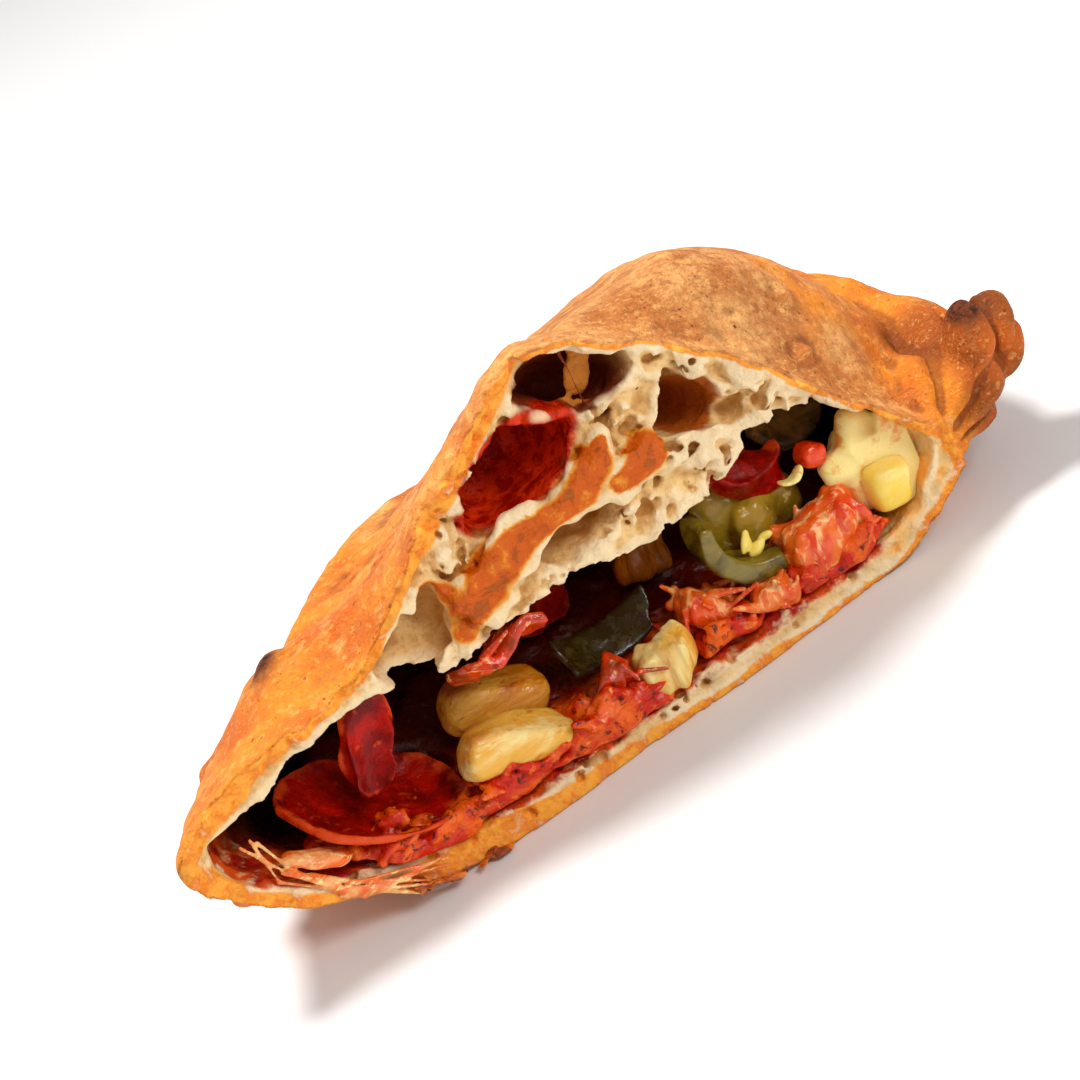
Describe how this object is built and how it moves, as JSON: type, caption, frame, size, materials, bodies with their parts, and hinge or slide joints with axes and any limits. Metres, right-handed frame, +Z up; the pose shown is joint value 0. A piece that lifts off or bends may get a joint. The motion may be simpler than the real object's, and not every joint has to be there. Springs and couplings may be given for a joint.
{
  "type": "calzone half",
  "caption": "Half of a baked calzone, cut across to show airy crumb, red sauce, pepperoni, ham, pineapple, green pepper and melted cheese, with a rope crimp along its seam.",
  "frame": {"origin": "a point on the flat underside near the middle of the piece", "axes": "+X along the cut face from the folded nose to the crimped seam, +Y from the cut face to the rounded back, +Z up"},
  "size_m": [0.1731, 0.106, 0.0756],
  "materials": {
    "crust": "baked, floury",
    "sauce": "wet",
    "pepperoni": "oily",
    "ham": "moist",
    "pineapple": "moist",
    "green_pepper": "moist",
    "cheese": "melted",
    "tomato": "moist",
    "mushroom": "moist",
    "onion": "moist"
  },
  "bodies": {
    "root": {"cheese_block": "cheese", "cheese_melt": "cheese", "cheese_pull": "cheese", "dough": "crust", "ham_chunk": "ham", "ham_scrap": "ham", "ham_shreds": "ham", "ham_strip": "ham", "ham_under_crumb": "ham", "mushroom": "mushroom", "onion": "onion", "pepper_flesh": "green_pepper", "pepper_ring": "green_pepper", "pepper_strip": "green_pepper", "pepperoni_back": "pepperoni", "pepperoni_floor": "pepperoni", "pepperoni_hanging": "pepperoni", "pepperoni_right": "pepperoni", "pineapple_behind": "pineapple", "pineapple_fibrous": "pineapple", "pineapple_front": "pineapple", "pineapple_shadow": "pineapple", "sauce": "sauce", "tomato": "tomato"}
  },
  "joints": []
}
